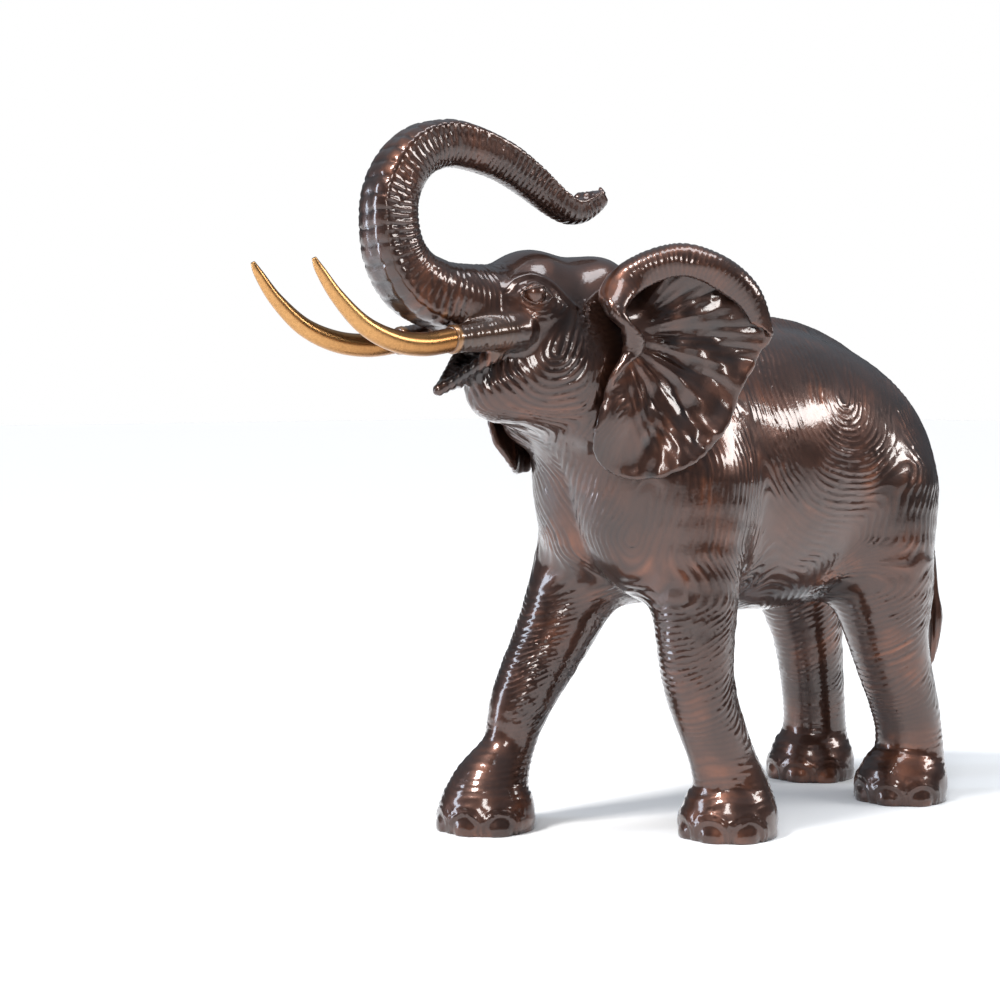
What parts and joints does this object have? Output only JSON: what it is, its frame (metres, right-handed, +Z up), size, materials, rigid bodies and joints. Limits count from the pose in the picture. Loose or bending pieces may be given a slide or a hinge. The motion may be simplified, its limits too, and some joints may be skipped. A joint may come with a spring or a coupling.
{
  "type": "bronze elephant sculpture",
  "caption": "Cast bronze elephant striding with trunk thrown back over its head, wide ears, and long golden bronze tusks seated in sockets.",
  "frame": {"origin": "on the ground under the middle of the whole sculpture's box", "axes": "+X the way the elephant walks, +Y its left side, +Z up"},
  "size_m": [0.6832, 0.2492, 0.5286],
  "materials": {
    "patinated_bronze": "dark umber patina under clear gloss wax, rubbed to copper brown on the high spots",
    "golden_bronze": "polished golden bronze, browner towards the root and underneath"
  },
  "bodies": {
    "root": {"elephant_casting": "patinated_bronze", "tusk_left": "golden_bronze", "tusk_right": "golden_bronze"}
  },
  "joints": []
}
